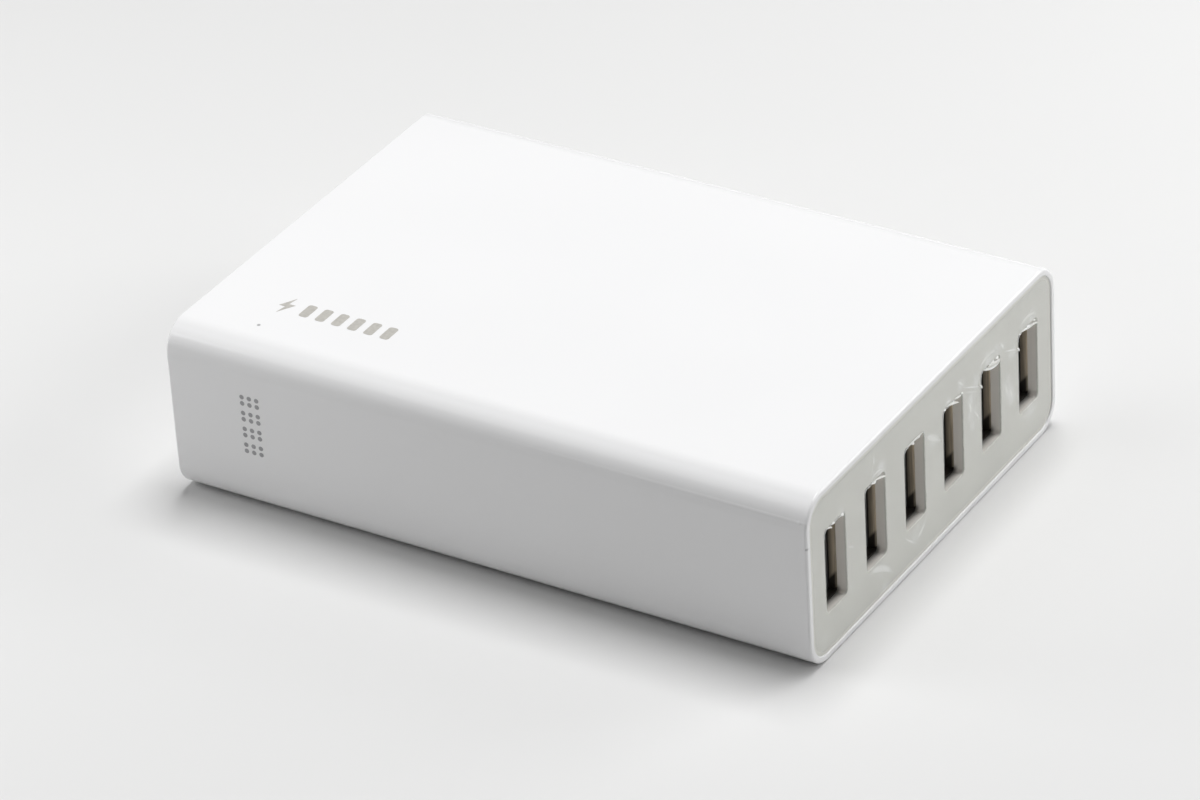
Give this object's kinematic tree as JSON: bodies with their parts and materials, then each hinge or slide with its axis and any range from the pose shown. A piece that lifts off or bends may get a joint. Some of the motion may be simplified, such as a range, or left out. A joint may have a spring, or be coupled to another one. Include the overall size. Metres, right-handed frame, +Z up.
{
  "type": "multi port usb desktop charger",
  "caption": "Flat desktop USB charger: a smooth white sleeve with rounded long edges, a grey end panel with a row of upright USB-A ports, and a two-pole mains inlet at the back.",
  "frame": {"origin": "centre of the underside, on the surface the charger lies on", "axes": "+X along the length towards the USB ports, +Y across the width, +Z up"},
  "size_m": [0.1, 0.0694, 0.0264],
  "materials": {
    "white_plastic": "satin moulded",
    "grey_plastic": "fine matt moulded",
    "clear_film": "clear, a little wrinkled",
    "black_plastic": "moulded",
    "pin_metal": "nickel plated",
    "board": "solder mask",
    "insulation": "fibre sheet",
    "brown_plastic": "moulded",
    "blue_coating": "dipped",
    "yellow_plastic": "moulded",
    "ferrite": "pressed",
    "copper": "enamelled wire",
    "can_sleeve": "shrink sleeve",
    "aluminium": "bent sheet",
    "yellow_tape": "taped",
    "shell_metal": "folded sheet, nickel plated",
    "contact_metal": "gold flashed"
  },
  "bodies": {
    "root": {"bridge_rectifier": "black_plastic", "bulk_capacitor_1": "can_sleeve", "bulk_capacitor_2": "can_sleeve", "bulk_capacitor_3": "can_sleeve", "casing": "white_plastic", "charge_chip_1": "black_plastic", "charge_chip_2": "black_plastic", "charge_chip_3": "black_plastic", "choke_coils": "copper", "choke_core": "ferrite", "controller_chip": "black_plastic", "fuse": "brown_plastic", "insulating_sheet": "insulation", "main_board": "board", "mains_inlet": "black_plastic", "mains_pin_1": "pin_metal", "mains_pin_2": "pin_metal", "optocoupler": "black_plastic", "output_capacitor_1": "can_sleeve", "output_capacitor_2": "can_sleeve", "output_capacitor_3": "can_sleeve", "output_choke": "ferrite", "output_rectifier": "black_plastic", "port_board": "board", "port_film": "clear_film", "port_panel": "grey_plastic", "primary_heatsink": "aluminium", "primary_switch": "black_plastic", "rear_panel": "white_plastic", "secondary_heatsink": "aluminium", "transformer_bobbin": "black_plastic", "transformer_core_lower": "ferrite", "transformer_core_upper": "ferrite", "transformer_winding": "yellow_tape", "usb_contacts_1": "contact_metal", "usb_contacts_2": "contact_metal", "usb_contacts_3": "contact_metal", "usb_contacts_4": "contact_metal", "usb_contacts_5": "contact_metal", "usb_contacts_6": "contact_metal", "usb_shell_1": "shell_metal", "usb_shell_2": "shell_metal", "usb_shell_3": "shell_metal", "usb_shell_4": "shell_metal", "usb_shell_5": "shell_metal", "usb_shell_6": "shell_metal", "usb_tongue_1": "black_plastic", "usb_tongue_2": "black_plastic", "usb_tongue_3": "black_plastic", "usb_tongue_4": "black_plastic", "usb_tongue_5": "black_plastic", "usb_tongue_6": "black_plastic", "varistor": "blue_coating", "x_capacitor": "yellow_plastic", "y_capacitor": "blue_coating"}
  },
  "joints": []
}
